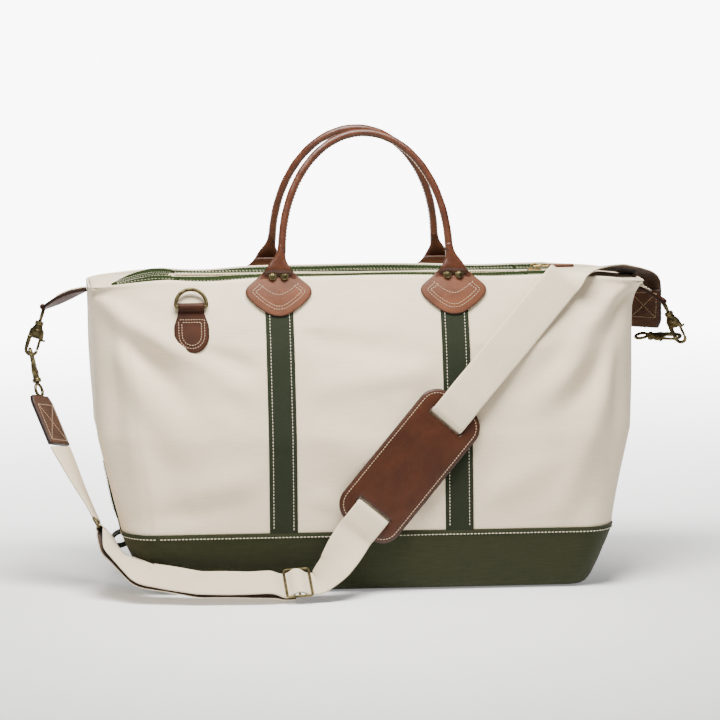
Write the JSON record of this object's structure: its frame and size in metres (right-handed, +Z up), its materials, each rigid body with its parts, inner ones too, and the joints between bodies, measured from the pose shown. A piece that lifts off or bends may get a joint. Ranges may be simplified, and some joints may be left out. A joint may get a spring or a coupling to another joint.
{
  "type": "duffel bag",
  "caption": "Soft canvas weekender bag with a contrast boot and straps, zip top in two flaps, leather handles, and a clip-on webbing shoulder strap with a leather pad.",
  "frame": {"origin": "centre of the underside, on the surface the bag stands on", "axes": "+X to the bag's right seen from the front, the front faces -Y, +Z up"},
  "size_m": [0.6866, 0.2915, 0.46],
  "materials": {
    "canvas": "undyed heavy canvas, plain weave",
    "boot_canvas": "dark green canvas",
    "facing": "dark green canvas facing",
    "zip_tape": "herringbone zip tape",
    "board": "stiffening board",
    "lining": "light cotton lining",
    "leather": "smooth brown leather, burnished edges",
    "handle_leather": "rolled brown leather",
    "pad_leather": "smooth brown leather, darker",
    "core": "twisted cotton cord",
    "webbing": "heavy cotton webbing",
    "zip_metal": "aged brass",
    "antique_brass": "antique brass, rubbed on the high spots"
  },
  "bodies": {
    "bag": {"front_panel": "canvas", "back_panel": "canvas", "base_boot": "boot_canvas", "base_panel": "boot_canvas", "base_board": "board", "inner_pocket": "lining", "front_strap_left": "boot_canvas", "front_strap_right": "boot_canvas", "back_strap_left": "boot_canvas", "back_strap_right": "boot_canvas", "end_strip_left": "boot_canvas", "end_strip_right": "boot_canvas", "end_loop_left": "boot_canvas", "end_loop_right": "boot_canvas", "top_gusset_left": "canvas", "top_gusset_right": "canvas", "zip_end_left": "zip_tape", "zip_end_right": "zip_tape", "chape_front_left": "leather", "chape_front_right": "leather", "chape_back_left": "leather", "chape_back_right": "leather", "chape_rivets": "antique_brass", "ring_tab": "leather", "wing_tab_left": "leather", "wing_tab_right": "leather", "wing_eye_left": "antique_brass", "wing_eye_right": "antique_brass", "strap_eye_left": "antique_brass", "strap_eye_right": "antique_brass", "strap_end_left": "leather", "strap_end_right": "leather", "strap_short": "webbing", "strap_loop": "antique_brass", "strap_main": "webbing", "strap_slide": "antique_brass", "shoulder_pad": "pad_leather"},
    "flap_front": {"zip_flap_front": "facing", "zip_tape_front": "zip_tape", "zip_teeth_front": "zip_metal"},
    "flap_back": {"zip_flap_back": "facing", "zip_tape_back": "zip_tape", "zip_teeth_back": "zip_metal"},
    "slider": {"zip_slider": "zip_metal"},
    "pull": {"zip_pull": "zip_metal", "zip_pull_tab": "leather"},
    "handle_front": {"handle_front": "handle_leather", "handle_core_front": "core"},
    "handle_back": {"handle_back": "handle_leather", "handle_core_back": "core"},
    "d_ring": {"d_ring": "antique_brass"},
    "wing_snap_left": {"wing_snap_left": "antique_brass"},
    "wing_snap_right": {"wing_snap_right": "antique_brass"},
    "strap_snap_left": {"strap_snap_left": "antique_brass"},
    "strap_snap_right": {"strap_snap_right": "antique_brass"},
    "wing_gate_left": {"wing_gate_left": "antique_brass"},
    "wing_gate_right": {"wing_gate_right": "antique_brass"},
    "strap_gate_left": {"strap_gate_left": "antique_brass"},
    "strap_gate_right": {"strap_gate_right": "antique_brass"}
  },
  "joints": [
    {"name": "zip_slide", "type": "slide", "parent": "bag", "child": "slider", "axis": [1, 0, 0], "range_m": [-0.371, 0]},
    {"name": "zip_pull_swing", "type": "hinge", "parent": "slider", "child": "pull", "pos_m": [0.1836, 0, 0.3149], "axis": [0, -1, 0], "range_deg": [0, 95]},
    {"name": "flap_front_fold", "type": "hinge", "parent": "bag", "child": "flap_front", "pos_m": [0, -0.0545, 0.3115], "axis": [1, 0, 0], "range_deg": [0, 60]},
    {"name": "flap_back_fold", "type": "hinge", "parent": "bag", "child": "flap_back", "pos_m": [0, 0.0545, 0.3115], "axis": [-1, 0, 0], "range_deg": [0, 60]},
    {"name": "handle_front_fold", "type": "hinge", "parent": "bag", "child": "handle_front", "pos_m": [0, -0.0625, 0.321], "axis": [1, 0, 0], "range_deg": [-8, 128]},
    {"name": "handle_back_fold", "type": "hinge", "parent": "bag", "child": "handle_back", "pos_m": [0, 0.0625, 0.321], "axis": [-1, 0, 0], "range_deg": [-8, 128]},
    {"name": "d_ring_swing", "type": "hinge", "parent": "bag", "child": "d_ring", "pos_m": [-0.178, -0.07353, 0.28581], "axis": [1, 0, 0], "range_deg": [0, 140]},
    {"name": "wing_swivel_left", "type": "hinge", "parent": "bag", "child": "wing_snap_left", "pos_m": [-0.33891, -0.00107, 0.23014], "axis": [0.3022, 0.0232, 0.953], "range_deg": [-8, 8]},
    {"name": "wing_gate_slide_left", "type": "slide", "parent": "wing_snap_left", "child": "wing_gate_left", "axis": [0.3022, 0.0232, 0.953], "range_m": [0, 0.005], "stiffness_N_per_m": 120, "springref_m": -0.004},
    {"name": "strap_swivel_left", "type": "hinge", "parent": "bag", "child": "strap_snap_left", "pos_m": [-0.33856, 0.00006, 0.23575], "axis": [0.188, -0.3526, -0.9167], "range_deg": [-8, 8]},
    {"name": "strap_gate_slide_left", "type": "slide", "parent": "strap_snap_left", "child": "strap_gate_left", "axis": [0.188, -0.3526, -0.9167], "range_m": [0, 0.005], "stiffness_N_per_m": 120, "springref_m": -0.004},
    {"name": "wing_swivel_right", "type": "hinge", "parent": "bag", "child": "wing_snap_right", "pos_m": [0.338, -0.006, 0.234], "axis": [-0.4468, -0.0447, 0.8935], "range_deg": [-8, 8]},
    {"name": "wing_gate_slide_right", "type": "slide", "parent": "wing_snap_right", "child": "wing_gate_right", "axis": [-0.4468, -0.0447, 0.8935], "range_m": [0, 0.005], "stiffness_N_per_m": 120, "springref_m": -0.004},
    {"name": "strap_swivel_right", "type": "hinge", "parent": "bag", "child": "strap_snap_right", "pos_m": [0.33523, -0.00628, 0.23954], "axis": [-0.8101, 0.585, -0.0387], "range_deg": [-8, 8]},
    {"name": "strap_gate_slide_right", "type": "slide", "parent": "strap_snap_right", "child": "strap_gate_right", "axis": [-0.8101, 0.585, -0.0387], "range_m": [0, 0.005], "stiffness_N_per_m": 120, "springref_m": -0.004}
  ]
}
